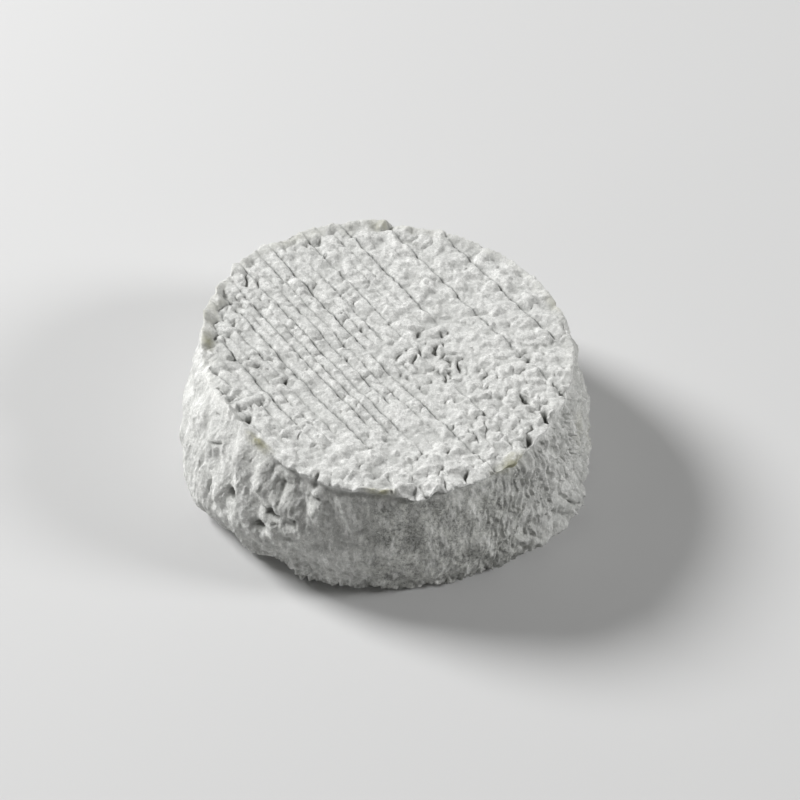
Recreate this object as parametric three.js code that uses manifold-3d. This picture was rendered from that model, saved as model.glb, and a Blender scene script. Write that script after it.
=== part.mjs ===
// A small soft cheese wheel with a wrinkled white rind, in millimetres, +Z up.
// It lies flat on its base. The origin is on the resting plane, under the middle of its outline.
// The wheel is one solid: an uneven drum, cut off above by a face that a draining rack has marked.

import * as THREE from 'three';
import { mergeVertices } from 'three/addons/utils/BufferGeometryUtils.js';
import Module from 'manifold-3d';

// ---- Driving dimensions -------------------------------------------------------------------------

const HEIGHT = 38; // from the resting plane to the rim
const FOOT_INSET = 2.2; // how far the flat base stops short of the lowest section
const TURN_UNDER = 3.2; // height over which the bottom edge turns in to the base

// The wall's outline at five heights: a mean radius, and what puts it out of round. A swell goes all
// the way around: its count, its size in mm and the angle of one crest. A bulge is local: its angle,
// its size and how far round it fades out. Angles are in degrees from +X.
const SECTIONS = [
  { height: 0, radius: 54, swells: [[1, 0.6, 71]], bulges: [] },
  { height: 4.6, radius: 55.5, swells: [[1, 1.1, 136]], bulges: [[208, 2.3, 60], [330, 3.2, 55]] },
  { height: 16, radius: 56.8, swells: [[1, 0.7, 150], [2, 0.8, 99]], bulges: [[208, 2.9, 60]] },
  { height: 28.5, radius: 54.9, swells: [[1, 1, 140], [2, 1, 114]], bulges: [[330, -0.6, 55]] },
  { height: HEIGHT, radius: 51.8, swells: [[1, 1.7, 107], [2, 2.1, 127], [3, 1, 25]], bulges: [] },
];
const BELLY = SECTIONS[2];
const RIM = SECTIONS[4];

// The rim is a thin ragged lip over a shallow crease.
const LIP_DEPTH = 2; // thickness of the lip, top to bottom
const LIP_REACH = 0.6; // how far it stands out past the wall
const LIP_MIDDLE = 295; // the angle where it stands out most
const LIP_SPREAD = 120; // degrees to each side over which it fades
const LEAST_LIP = 0.4; // what is left of it beyond that
const CREASE_DEPTH = 0.6; // how far the crease below it goes in
const CREASE_HEIGHT = 35; // where the crease is deepest
const SCALLOPS = 58; // bays around the lip
const SCALLOP_DEPTH = 0.9;
const LIP_NOTCHES = [ // angle, depth, width in degrees
  [215, 1.2, 7],
  [248, 1.6, 5],
  [271, 1.4, 6],
  [312, 1.2, 5],
  [331, 1.4, 5],
];

// Relief of the wall.
const LUMP_SIZE = 9;
const LUMP_RISE = 0.7;
const WRINKLE_PITCH = 5; // upright wrinkles, from one crest to the next
const WRINKLE_LENGTH = 10;
const WRINKLE_RISE = 0.75;
const WRINKLE_MIDDLE = 335; // the angle where the wrinkles are deepest
const WRINKLE_SPREAD = 75; // degrees to each side over which they fade
const LEAST_WRINKLE = 0.35; // what is left of them beyond that
const DENT_SHOULDER = 1.3; // how far past its half-width a dent fades out
const DENTS = [ // angle, height, half-width, half-height, depth
  [222, 24.2, 2.6, 1.5, 1.8],
  [235, 24.6, 3.6, 1.4, 1.4],
  [232, 19, 2.8, 1.6, 1.3],
  [242, 19.8, 2.4, 1.5, 1.2],
  [237, 31.5, 3, 2.4, 1],
  [206, 21, 1.8, 4.6, 1.2],
  [213, 18.4, 1.6, 3.2, 1],
];

// The rack's strands pressed parallel grooves into the upper face.
const GROOVE_HEADING = -55; // degrees from +X
const GROOVE_PITCH = 3.35;
const GROOVE_WIDTH = 0.9;
const GROOVE_SHIFT = 0.4; // unevenness of the spacing
const FAINT_DEPTH = 0.4;
const GROOVE_END = [0.88, 1.02]; // shares of the rim's radius over which a groove runs out
const CRISP_GROOVES = [ // offset from the middle, depth
  [-35.6, 1],
  [-25.2, 0.7],
  [-20.2, 0.75],
  [-14.4, 0.65],
  [-10.8, 0.6],
  [-3.5, 0.9],
  [7.2, 0.75],
  [18.4, 1],
  [29.4, 0.9],
  [41, 1],
];

// Relief of the upper face.
const DISH = 0.7; // how far its middle has sunk
const DISH_REACH = 0.9; // share of the rim's radius
const PILLOW_LENGTH = 3.6; // each rib is broken into pillows
const PILLOW_RISE = 0.3;
const FOLD_SIZE = 6.5;
const FOLD_RISE = 0.45;
const WORM_PATCH = { x: 13, y: 1, radius: 17, size: 3.4, rise: 0.7, fill: 0.7 }; // most wrinkled
const BACK_RIDGE = { angle: 140, spread: 32, reach: 0.91, width: 0.05, rise: 1.2 }; // a raised fold
const SOFT_EDGE = { angle: 187, spread: 20, drop: 2.6, from: 0.88, to: 1.03 }; // worn round

// Fineness of the facets.
const WALL_SEGMENTS = 128;
const WALL_ROWS = 12;
const FACE_ROWS = 29;
const CLEARANCE = 5; // how far the drum and the rack's face overshoot each other
const SHORTEST_EDGE = 0.02;

// ---- Helpers ------------------------------------------------------------------------------------

const { degToRad, radToDeg, smoothstep, lerp, clamp } = THREE.MathUtils;

// A repeatable random number from -1 to 1 for each point of a lattice.
function scatter(i, j, seed) {
  let hash = Math.imul(i, 374761393) + Math.imul(j, 668265263) + Math.imul(seed, 974634777);
  hash = Math.imul(hash ^ (hash >>> 13), 1274126177);
  return ((hash ^ (hash >>> 16)) >>> 0) / 2 ** 31 - 1;
}

// Smooth unevenness from -1 to 1. It repeats after `turn` steps of u, where turn is given.
function unevenness(u, v, seed, turn = 0) {
  const column = Math.floor(u);
  const row = Math.floor(v);
  const wrap = (i) => (turn ? ((i % turn) + turn) % turn : i);
  const across = smoothstep(u - column, 0, 1);
  const up = smoothstep(v - row, 0, 1);
  const along = (j) => lerp(scatter(wrap(column), j, seed), scatter(wrap(column + 1), j, seed), across);
  return lerp(along(row), along(row + 1), up);
}

// 1 at the middle of a hump, falling to 0 at its half-width.
const hump = (distance, halfWidth) => 1 - smoothstep(Math.abs(distance), 0, halfWidth);

// The shorter way round from one angle to another, in degrees.
const turnFrom = (angle, from) => ((angle - from + 540) % 360) - 180;

// ---- The wall -----------------------------------------------------------------------------------

function sectionRadius({ radius, swells, bulges }, angle) {
  const swell = swells.reduce(
    (sum, [count, size, crest]) => sum + size * Math.cos(count * degToRad(angle - crest)), 0);
  const bulge = bulges.reduce(
    (sum, [at, size, spread]) => sum + size * hump(turnFrom(angle, at), spread), 0);
  return radius + swell + bulge;
}

// The plain wall: a smooth curve through the sections.
function plainRadius(angle, height) {
  const radii = SECTIONS.map((section) => sectionRadius(section, angle));
  const slopes = SECTIONS.map((section, i) => {
    const below = Math.max(i - 1, 0);
    const above = Math.min(i + 1, SECTIONS.length - 1);
    return (radii[above] - radii[below]) / (SECTIONS[above].height - SECTIONS[below].height);
  });
  const level = clamp(height, 0, HEIGHT);
  const upper = Math.max(1, SECTIONS.findIndex((section) => section.height >= level));
  const lower = upper - 1;
  const span = SECTIONS[upper].height - SECTIONS[lower].height;
  const t = (level - SECTIONS[lower].height) / span;
  const ease = t * t * (3 - 2 * t);
  return lerp(radii[lower], radii[upper], ease)
    + span * slopes[lower] * t * (1 - t) ** 2
    - span * slopes[upper] * t ** 2 * (1 - t);
}

const rimRadius = (angle) => plainRadius(angle, HEIGHT);

const wrinkleStrength = (angle) => lerp(
  LEAST_WRINKLE, 1, hump(turnFrom(angle, WRINKLE_MIDDLE), WRINKLE_SPREAD));

function wallRelief(angle, height) {
  const turn = (size) => Math.round((2 * Math.PI * BELLY.radius) / size);
  const around = (size) => (angle / 360) * turn(size);
  const lumps = unevenness(around(LUMP_SIZE), height / LUMP_SIZE, 1, turn(LUMP_SIZE));
  const wrinkles = unevenness(
    around(WRINKLE_PITCH / 2), height / WRINKLE_LENGTH, 2, turn(WRINKLE_PITCH / 2));
  const dents = DENTS.reduce((sum, [at, level, halfWidth, halfHeight, depth]) => {
    const sideways = degToRad(turnFrom(angle, at)) * BELLY.radius / halfWidth;
    return sum + depth * hump(Math.hypot(sideways, (height - level) / halfHeight), DENT_SHOULDER);
  }, 0);
  const calm = smoothstep(height, 0, TURN_UNDER); // the foot stays even
  return calm * (LUMP_RISE * lumps + WRINKLE_RISE * wrinkleStrength(angle) * wrinkles - dents);
}

const lipStrength = (angle) => lerp(LEAST_LIP, 1, hump(turnFrom(angle, LIP_MIDDLE), LIP_SPREAD));

// The ragged lip, from the crease upwards.
function lipReach(angle, height) {
  const scallop = SCALLOP_DEPTH * unevenness((angle / 360) * SCALLOPS, 0, 3, SCALLOPS);
  const notches = LIP_NOTCHES.reduce(
    (sum, [at, depth, width]) => sum + depth * hump(turnFrom(angle, at), width / 2), 0);
  const inLip = smoothstep(height, CREASE_HEIGHT, HEIGHT - LIP_DEPTH / 2);
  const inCrease = hump(height - CREASE_HEIGHT, LIP_DEPTH);
  return lipStrength(angle) * (inLip * (LIP_REACH + scallop - notches) - inCrease * CREASE_DEPTH);
}

function wallRadius(angle, height) {
  const turnedUnder = FOOT_INSET * (1 - Math.min(height / TURN_UNDER, 1)) ** 3;
  return plainRadius(angle, height) + wallRelief(angle, height) + lipReach(angle, height) - turnedUnder;
}

// ---- The upper face -----------------------------------------------------------------------------

// Where the grooves lie across the face, and how deep each one is.
function rackGrooves() {
  const count = Math.ceil((BELLY.radius + CLEARANCE) / GROOVE_PITCH);
  const evenly = Array.from({ length: 2 * count + 1 }, (_, i) => (i - count) * GROOVE_PITCH);
  return evenly.map((place, i) => {
    const crisp = CRISP_GROOVES.find(([offset]) => Math.abs(offset - place) <= GROOVE_PITCH / 2);
    return crisp
      ? { offset: crisp[0], depth: crisp[1] }
      : { offset: place + GROOVE_SHIFT * scatter(i, 0, 4), depth: FAINT_DEPTH };
  });
}

const inWormPatch = (x, y) => hump(Math.hypot(x - WORM_PATCH.x, y - WORM_PATCH.y), WORM_PATCH.radius);

// Height of the face between the grooves.
function faceHeight(x, y) {
  const angle = (radToDeg(Math.atan2(y, x)) + 360) % 360;
  const reach = Math.hypot(x, y) / rimRadius(angle);
  const dish = DISH * (1 - smoothstep(reach, 0, DISH_REACH));
  const folds = FOLD_RISE * unevenness(x / FOLD_SIZE, y / FOLD_SIZE, 5);
  const worms = WORM_PATCH.rise * inWormPatch(x, y)
    * unevenness(x / WORM_PATCH.size, y / WORM_PATCH.size, 6);
  const ridge = BACK_RIDGE.rise * hump(reach - BACK_RIDGE.reach, BACK_RIDGE.width)
    * hump(turnFrom(angle, BACK_RIDGE.angle), BACK_RIDGE.spread);
  const worn = SOFT_EDGE.drop * smoothstep(reach, SOFT_EDGE.from, SOFT_EDGE.to)
    * hump(turnFrom(angle, SOFT_EDGE.angle), SOFT_EDGE.spread);
  return HEIGHT - dish + folds + worms + ridge - worn;
}

// How much of a groove's depth is left at a place: less in the wrinkled patch and near the rim.
function grooveDepth(groove, x, y) {
  const reach = Math.hypot(x, y) / RIM.radius;
  const filled = WORM_PATCH.fill * inWormPatch(x, y);
  return groove.depth * (1 - filled) * (1 - smoothstep(reach, ...GROOVE_END));
}

// ---- Solids -------------------------------------------------------------------------------------

const manifold = await Module();
manifold.setup();

// A three.js geometry with its seams closed and its collapsed triangles left out.
function closedShell(geometry) {
  geometry.deleteAttribute('normal');
  geometry.deleteAttribute('uv');
  const shell = mergeVertices(geometry, 1e-3);
  const corners = shell.index.array;
  const kept = [];
  for (let i = 0; i < corners.length; i += 3) {
    const [a, b, c] = corners.subarray(i, i + 3);
    if (a !== b && b !== c && c !== a) kept.push(a, b, c);
  }
  shell.setIndex(kept);
  return shell;
}

// Moves each vertex of a geometry to where place(x, y, z) says.
function moulded(geometry, place) {
  const position = geometry.attributes.position;
  for (let i = 0; i < position.count; i += 1) {
    position.setXYZ(i, ...place(position.getX(i), position.getY(i), position.getZ(i)));
  }
  return geometry;
}

function toSolid(shell) {
  return new manifold.Manifold(new manifold.Mesh({
    numProp: 3,
    vertProperties: new Float32Array(shell.attributes.position.array),
    triVerts: new Uint32Array(shell.index.array),
  }));
}

function toGeometry(solid) {
  const { vertProperties, triVerts } = solid.getMesh();
  const geometry = new THREE.BufferGeometry();
  geometry.setAttribute('position', new THREE.BufferAttribute(new Float32Array(vertProperties), 3));
  geometry.setIndex([...triVerts]);
  return geometry;
}

// The drum: a lathe profile of unit radius, whose points are then moved out to the wall.
function drum() {
  const lowRows = [0, 0.25, 0.6, 1].map((part) => part * TURN_UNDER);
  const wallTop = CREASE_HEIGHT - LIP_DEPTH;
  const wallRows = Array.from(
    { length: WALL_ROWS }, (_, i) => lerp(TURN_UNDER, wallTop, (i + 1) / WALL_ROWS));
  const lipRows = [CREASE_HEIGHT, HEIGHT - LIP_DEPTH, HEIGHT - LIP_DEPTH / 2, HEIGHT + CLEARANCE];
  const rows = [...lowRows, ...wallRows, ...lipRows];
  const profile = [
    new THREE.Vector2(0, 0),
    ...rows.map((height) => new THREE.Vector2(1, height)),
    new THREE.Vector2(0, HEIGHT + CLEARANCE),
  ];
  const lathe = new THREE.LatheGeometry(profile, WALL_SEGMENTS).rotateX(Math.PI / 2);
  return toSolid(moulded(closedShell(lathe), (x, y, z) => {
    const angle = (radToDeg(Math.atan2(y, x)) + 360) % 360;
    const radius = wallRadius(angle, z);
    return [x * radius, y * radius, z];
  }));
}

// A block whose upper side is the face that the rack has marked. Its columns follow the grooves:
// two edges and a bottom for each.
function markedBlock() {
  const grooves = rackGrooves();
  const columns = grooves.flatMap(({ offset, depth }) => [
    { offset: offset - GROOVE_WIDTH / 2, depth: 0 },
    { offset, depth },
    { offset: offset + GROOVE_WIDTH / 2, depth: 0 },
  ]);
  const size = 2 * (BELLY.radius + CLEARANCE);
  const block = new THREE.BoxGeometry(columns.length - 1, size, HEIGHT, columns.length - 1, FACE_ROWS, 1);
  const heading = new THREE.Matrix4().makeRotationZ(degToRad(GROOVE_HEADING + 90));
  const middle = (columns.length - 1) / 2;
  return toSolid(moulded(closedShell(block), (across, along, side) => {
    const column = Math.round(across + middle);
    const groove = columns[column];
    const spot = new THREE.Vector3(groove.offset, along, 0).applyMatrix4(heading);
    if (side < 0) return [spot.x, spot.y, -CLEARANCE];
    const rib = Math.floor((column + 1) / 3);
    const pillow = PILLOW_RISE * unevenness(along / PILLOW_LENGTH, rib * 7, 7);
    return [spot.x, spot.y, faceHeight(spot.x, spot.y) + pillow - grooveDepth(groove, spot.x, spot.y)];
  }));
}

function cheeseWheel() {
  const geometry = toGeometry(drum().intersect(markedBlock()).simplify(SHORTEST_EDGE));
  geometry.computeBoundingBox();
  const middle = geometry.boundingBox.getCenter(new THREE.Vector3());
  geometry.translate(-middle.x, -middle.y, 0);
  geometry.computeVertexNormals();
  const rind = new THREE.MeshStandardMaterial({ color: 0xd2d2cd, roughness: 0.95, metalness: 0 });
  const mesh = new THREE.Mesh(geometry, rind);
  mesh.name = 'cheese_wheel';
  return mesh;
}

const part = new THREE.Group();
part.add(cheeseWheel());

export default part;
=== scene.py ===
"""Looks of a small soft cheese wheel with a wrinkled white mould rind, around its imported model."""

import math

import bmesh
import bpy
import numpy as np
from mathutils import Matrix, Vector


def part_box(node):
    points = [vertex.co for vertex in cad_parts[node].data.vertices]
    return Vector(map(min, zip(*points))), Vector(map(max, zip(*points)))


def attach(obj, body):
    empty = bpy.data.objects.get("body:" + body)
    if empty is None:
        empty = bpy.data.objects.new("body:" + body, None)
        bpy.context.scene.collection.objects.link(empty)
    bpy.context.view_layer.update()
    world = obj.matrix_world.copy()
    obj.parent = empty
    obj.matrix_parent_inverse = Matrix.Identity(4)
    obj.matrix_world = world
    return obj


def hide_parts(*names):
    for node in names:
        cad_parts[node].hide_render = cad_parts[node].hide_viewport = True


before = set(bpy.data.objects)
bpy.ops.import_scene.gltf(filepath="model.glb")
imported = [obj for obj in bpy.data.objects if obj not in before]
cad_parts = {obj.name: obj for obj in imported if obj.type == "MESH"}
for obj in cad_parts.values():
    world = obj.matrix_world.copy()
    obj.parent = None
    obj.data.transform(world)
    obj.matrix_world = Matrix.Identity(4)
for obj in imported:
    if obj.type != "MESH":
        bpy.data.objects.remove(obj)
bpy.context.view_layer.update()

# ---- The wheel's sizes, in mm and degrees from +X 

MM = 0.001
HEIGHT = 38.0
FOOT_INSET = 2.2  # how far the wall turns in under the wheel
TURN_UNDER = 3.2  # the level where it starts to

# The wall's outline at five heights: mean radius, swells that go all round (count, size, crest) and
# local bulges (angle, size, spread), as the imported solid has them.
SECTIONS = (
    (0.0, 54.0, ((1, 0.6, 71),), ()),
    (4.6, 55.5, ((1, 1.1, 136),), ((208, 2.3, 60), (330, 3.2, 55))),
    (16.0, 56.8, ((1, 0.7, 150), (2, 0.8, 99)), ((208, 2.9, 60),)),
    (28.5, 54.9, ((1, 1.0, 140), (2, 1.0, 114)), ((330, -0.6, 55),)),
    (HEIGHT, 51.8, ((1, 1.7, 107), (2, 2.1, 127), (3, 1.0, 25)), ()),
)
BELLY_RADIUS = 56.8
BELLY_TURN = 2 * math.pi * BELLY_RADIUS

# The draining rack's grooves in the upper face. A slit or a valley is its share of a groove's depth,
# and its half-width.
GROOVE_HEADING = -55.0
GROOVE_DRIFT = 0.03  # how far they spread, per mm, past the middle
GROOVE_WANDER = 0.09
GROOVE_TREMBLE = 0.06
GROOVE_SLIT = (0.62, 0.34)
GROOVE_VALLEY = (0.2, 0.9)
GROOVE_FADE = 3.0  # how far a groove takes to fade out at an end
GROOVE_TRACE = 0.15  # the share of its depth that is left past its ends
RIB_WIDTHS = (3.6, 5.5)  # grooves this close have a rib between them, and grooves this far apart none

# Offset from the middle, depth, and where along it each groove begins and ends. The first has no
# depth: it closes the outermost rib.
GROOVES = (
    (-49.0, 0.00, -30, 0),
    (-45.3, 0.70, -30, 4),
    (-42.2, 0.70, -36, -14),
    (-39.2, 0.40, -24, 4),
    (-35.5, 1.00, -32, 9),
    (-32.3, 0.40, -34, 8),
    (-29.2, 0.60, -44, 14),
    (-25.0, 0.90, -46, 28),
    (-22.6, 0.35, -46, -18),
    (-20.0, 0.75, -46, 20),
    (-17.1, 0.60, -28, 26),
    (-14.3, 0.80, -54, 28),
    (-10.5, 0.70, -40, 16),
    (-7.3, 0.60, -54, 30),
    (-3.5, 1.00, -54, 52),
    (-0.4, 0.45, -24, 16),
    (2.3, 0.70, -38, -6),
    (7.4, 0.80, -54, 40),
    (12.3, 0.40, -36, -14),
    (15.0, 0.30, -54, 16),
    (18.6, 1.00, -54, 8),
    (25.2, 0.25, -50, -30),
    (29.6, 0.85, -48, 34),
    (35.6, 0.25, -20, 0),
    (41.0, 1.00, -32, 22),
    (46.0, 0.20, -20, 20),
)

# Worms and folds that stand out on the upper face: both ends (x, y, x, y), half-width, rise.
WORMS = (
    (11.8, 8.5, 14.0, 10.2, 2.0, 1.3),
    (10.8, 1.2, 11.1, 3.7, 1.3, 1.1),
    (14.2, 1.3, 14.3, 3.0, 1.4, 1.1),
    (3.4, -2.2, 4.5, 0.6, 1.2, 1.0),
    (4.5, 0.6, 7.2, 2.0, 1.3, 1.1),
    (5.3, -3.6, 7.4, -6.4, 0.9, 0.7),
    (15.2, -2.4, 16.4, -0.2, 1.0, 0.9),
    (16.4, -0.2, 18.2, -0.9, 1.0, 0.9),
    (18.2, -0.9, 18.2, -6.6, 1.2, 0.8),
    (13.2, -4.8, 15.4, -3.0, 1.1, 0.8),
    (20.6, -2.4, 22.0, -3.8, 1.2, 0.8),
    (23.6, -1.6, 22.6, -6.4, 1.1, 0.7),
    (0.2, 2.0, 2.4, 2.8, 2.0, 0.8),
    (7.4, 5.8, 8.8, 3.9, 1.0, 0.7),
    (5.0, -6.8, 6.8, -8.1, 1.2, 0.7),
    (9.2, -8.2, 10.2, -9.4, 1.3, 0.8),
    (12.2, -6.8, 12.8, -9.0, 1.3, 0.7),
    (7.5, -11.4, 7.9, -11.4, 1.1, 0.7),
    (9.8, -12.8, 10.2, -12.4, 1.1, 0.6),
    (11.2, 5.8, 13.2, 5.4, 1.2, 0.7),
    (16.6, 3.4, 17.0, 2.2, 1.4, 0.6),
    (-13.2, -1.1, -11.3, 1.1, 1.1, 0.7),
    (-11.3, 1.1, -9.3, -1.7, 1.1, 0.7),
    (-40.8, 33.8, -38.5, 30.2, 0.9, 0.7),
    (-38.5, 30.2, -38.3, 26.8, 0.9, 0.7),
    (-38.3, 26.8, -42.6, 23.2, 0.9, 0.7),
    (-41.4, -19.8, -35.6, -16.6, 1.4, 1.5),
    (-35.9, -21.0, -35.9, -24.6, 1.3, 1.1),
    (-39.2, -22.4, -38.8, -22.6, 1.5, 0.8),
    (-44.1, -15.3, -41.8, -13.7, 1.3, 1.0),
    (-46.6, -11.5, -44.6, -11.5, 1.1, 0.9),
    (-39.8, -3.9, -37.5, -2.2, 1.3, 0.9),
    (-37.5, -2.2, -34.3, -3.3, 1.4, 0.9),
    (-34.3, -3.3, -29.1, -7.7, 1.5, 0.9),
    (-31.7, -10.5, -29.1, -8.3, 1.2, 0.9),
    (-47.4, -3.3, -41.8, -4.4, 1.4, 0.9),
    (-41.8, -4.4, -38.5, -8.8, 1.4, 0.7),
    (-50.5, 3.3, -47.4, 5.6, 1.3, 0.9),
    (-47.4, 5.6, -44.4, 0.0, 1.3, 0.8),
    (-46.3, 8.4, -42.0, 10.1, 1.0, 0.7),
    (-45.4, 14.1, -42.2, 15.2, 1.2, 0.8),
    (-27.8, 18.1, -20.0, 9.0, 1.5, 0.7),
    (34.3, -2.2, 38.6, -1.0, 1.2, 0.8),
    (38.0, -8.1, 41.8, -6.3, 1.2, 0.8),
    (38.8, 4.4, 44.0, 5.6, 1.2, 0.7),
    (27.1, -20.2, 28.7, -19.1, 1.9, 0.8),
    (33.7, -22.3, 38.3, -23.4, 1.3, 0.9),
    (44.5, -23.9, 42.8, -27.1, 1.3, 1.0),
    (38.4, -32.9, 40.9, -27.6, 1.4, 1.1),
    (29.7, -25.5, 32.0, -27.1, 1.6, 0.7),
)

# Pits in the upper face: both ends (x, y, x, y), half-width, depth.
PITS = (
    (-35.5, -19.3, -34.7, -18.7, 0.6, 1.3),
    (-38.0, -24.4, -37.2, -24.8, 0.5, 1.0),
    (-46.6, -11.6, -43.8, -14.2, 0.8, 1.6),
    (38.3, -33.8, 37.6, -32.2, 1.1, 2.4),
    (42.8, -25.4, 42.4, -22.6, 1.1, 2.4),
    (45.2, -11.8, 47.8, -15.6, 0.6, 2.0),
    (48.4, -15.4, 49.4, -16.6, 0.8, 1.2),
    (36.2, -16.0, 38.6, -19.8, 0.4, 1.0),
    (22.0, -29.2, 24.2, -33.4, 0.35, 0.8),
    (33.4, -33.4, 34.6, -36.0, 0.4, 0.8),
    (7.0, -1.0, 7.1, -2.9, 0.9, 1.3),
    (12.4, 3.6, 12.7, 0.6, 0.7, 1.0),
    (8.9, 2.2, 8.8, 0.2, 0.6, 0.9),
    (4.6, -4.3, 4.7, -4.7, 0.6, 0.9),
    (7.9, 9.0, 7.5, 8.0, 0.6, 0.9),
    (15.3, -7.4, 15.3, -9.6, 0.7, 1.2),
    (16.2, -10.6, 17.4, -10.6, 0.7, 0.5),
    (17.0, -6.0, 17.0, -8.0, 0.6, 0.6),
    (19.5, -3.2, 19.7, -5.8, 0.5, 0.8),
    (24.5, -6.2, 24.6, -6.4, 0.6, 0.7),
    (14.0, 8.2, 14.6, 7.8, 0.5, 0.7),
    (15.5, 4.6, 15.7, 4.0, 0.5, 0.6),
    (7.9, 3.2, 8.4, 2.8, 0.5, 0.6),
    (9.0, -4.4, 11.2, -4.0, 2.2, 0.8),
    (9.4, -6.6, 8.6, -5.8, 1.2, 0.6),
    (2.9, -0.8, 2.9, -1.2, 0.5, 0.6),
    (7.0, -6.8, 7.6, -6.9, 0.5, 0.6),
    (5.2, -8.8, 6.2, -9.6, 0.6, 0.7),
    (0.9, -13.0, 1.1, -14.4, 0.7, 1.0),
    (-12.5, 4.5, -12.2, 4.3, 0.9, 0.9),
    (-7.8, 10.1, -7.6, 10.0, 0.8, 0.8),
    (-5.6, -11.0, -5.4, -11.3, 0.7, 0.9),
    (0.7, -26.0, 0.8, -26.2, 0.6, 0.7),
    (17.1, -28.1, 17.2, -28.3, 0.7, 0.7),
    (9.1, -37.0, 9.3, -37.2, 0.9, 0.7),
    (13.9, -42.4, 15.9, -45.8, 0.35, 0.7),
    (20.4, -44.4, 20.8, -46.2, 0.6, 1.0),
    (30.2, 21.3, 30.3, 21.2, 0.8, 0.5),
    (21.5, 22.8, 21.6, 22.6, 0.8, 0.5),
    (48.6, -5.7, 48.7, -5.9, 0.7, 1.0),
    (34.4, 2.6, 34.6, 2.5, 0.7, 0.7),
    (38.9, -28.1, 39.0, -28.4, 0.7, 1.0),
    (36.9, -17.5, 37.1, -17.7, 0.9, 0.7),
    (-43.5, -1.1, -43.3, -1.5, 0.7, 1.2),
    (-47.9, -5.0, -47.7, -5.3, 0.7, 1.0),
    (-28.6, -9.9, -28.4, -10.2, 0.7, 0.9),
    (-24.1, 43.3, -24.0, 43.1, 0.9, 0.8),
    (-18.0, 39.7, -17.9, 39.4, 0.9, 0.7),
    (-13.9, 44.9, -13.8, 44.6, 0.9, 0.8),
    (-40.7, 30.4, -40.8, 27.6, 0.7, 1.7),
    (-39.6, 36.4, -39.0, 35.4, 0.9, 0.7),
    (-30.6, 42.4, -29.6, 41.4, 0.9, 0.7),
    (-22.6, 45.4, -20.4, 45.2, 1.2, 0.7),
    (-10.4, 50.4, -9.8, 49.0, 1.0, 0.7),
    (-43.3, 11.8, -43.2, 11.4, 1.0, 1.0),
    (-45.6, 18.6, -45.5, 18.2, 0.9, 1.2),
)

# The raised band along the rim: angle, width, rise, and how bare of mould it is.
# The bare band's darker colour is partly painted shade, as its inner slope faces away from the key light.
RIM_BAND = (
    (0, 2.0, 0.4, 0.2), (20, 2.2, 0.5, 0.3), (45, 2.0, 0.5, 0.25), (60, 2.4, 0.5, 0.25),
    (75, 2.6, 0.6, 0.35), (84, 2.8, 0.8, 0.6), (91, 2.8, 1.1, 0.95), (97, 2.8, 0.9, 0.9),
    (101, 3.0, 0.7, 0.5), (108, 3.4, 0.7, 0.5), (120, 3.4, 0.7, 0.45), (130, 3.0, 0.7, 0.35),
    (147, 2.6, 0.9, 0.3), (153, 3.6, 1.3, 0.9), (158, 4.2, 1.6, 1.0), (168, 4.4, 1.6, 1.0),
    (174, 3.6, 1.2, 0.9), (180, 2.6, 0.6, 0.4), (190, 2.0, 0.2, 0.2), (200, 1.5, 1.2, 0.2),
    (225, 1.5, 1.4, 0.2), (236, 1.6, 0.6, 0.0), (260, 1.2, 0.3, 0.0), (290, 1.4, 0.4, 0.0),
    (312, 1.8, 0.7, 0.0), (330, 1.8, 0.4, 0.0), (345, 2.0, 0.4, 0.1), (360, 2.0, 0.4, 0.2),
)

# The lip all round: angle, how far it stands out, and how deep the wall is cut under it, which also sets
# the painted shadow under it.
RIM_LIP = (
    (0, 0.3, 0.2), (30, 0.2, 0.2), (80, 0.2, 0.2), (92, 0.5, 0.3), (110, 0.4, 0.3), (150, 0.5, 0.4),
    (172, 0.5, 0.3), (184, 0.1, 0.0), (198, 0.0, 0.0), (210, 0.2, 0.1), (232.5, 0.2, 0.1),
    (234.2, 0.5, 1.1), (239.5, 0.5, 1.1), (242, 0.3, 0.2), (245.5, 0.6, 0.2), (247, 0.9, 1.3),
    (248.5, 0.8, 0.4), (256, 0.5, 0.5), (260, 0.6, 1.2), (269, 0.6, 1.2), (272, 0.5, 0.7),
    (276, 0.7, 1.0), (292, 0.6, 1.0), (299, 0.4, 0.6), (306, 0.6, 1.1), (316, 0.6, 0.8),
    (320, 0.1, 0.2), (328, 0.3, 0.2), (345, 0.3, 0.1), (360, 0.4, 0.2),
)

# Turns of the lip: angle, half-width, how far out and how far up.
LIP_TURNS = (
    (278.5, 5.0, 1.5, -1.4), (288.0, 3.0, 0.9, -0.7), (284.2, 1.6, -1.0, 0.4),
    (271.2, 2.4, -0.4, 0.2), (266.0, 9.0, -1.2, 0.6), (250.6, 2.6, 1.1, 0.9),
    (247.4, 1.4, -1.8, -1.6), (243.0, 3.0, 0.8, 0.3), (237.0, 4.5, 0.9, 0.1),
    (301.4, 1.2, -1.2, -0.9), (298.0, 7.0, 1.1, -0.2), (308.5, 6.0, 1.8, -0.4),
    (318.2, 1.5, -1.6, -1.2), (324.0, 3.5, 0.7, 0.5), (330.8, 1.8, -1.7, -1.4),
    (337.0, 3.5, 0.7, 0.4), (182.0, 4.0, -0.8, -0.8), (176.0, 3.0, 0.4, 0.3),
    (167.0, 7.0, -0.5, 0.0), (152.0, 6.0, -1.0, -0.6), (146.0, 4.0, -1.3, -0.5),
    (123.0, 6.0, -1.4, -0.4), (96.0, 6.0, 0.3, 0.0), (82.0, 6.0, -0.9, -0.8),
    (73.5, 3.5, 0.8, 0.3), (58.0, 2.5, -0.7, -0.2), (12.0, 2.5, -0.6, -0.4),
)

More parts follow.
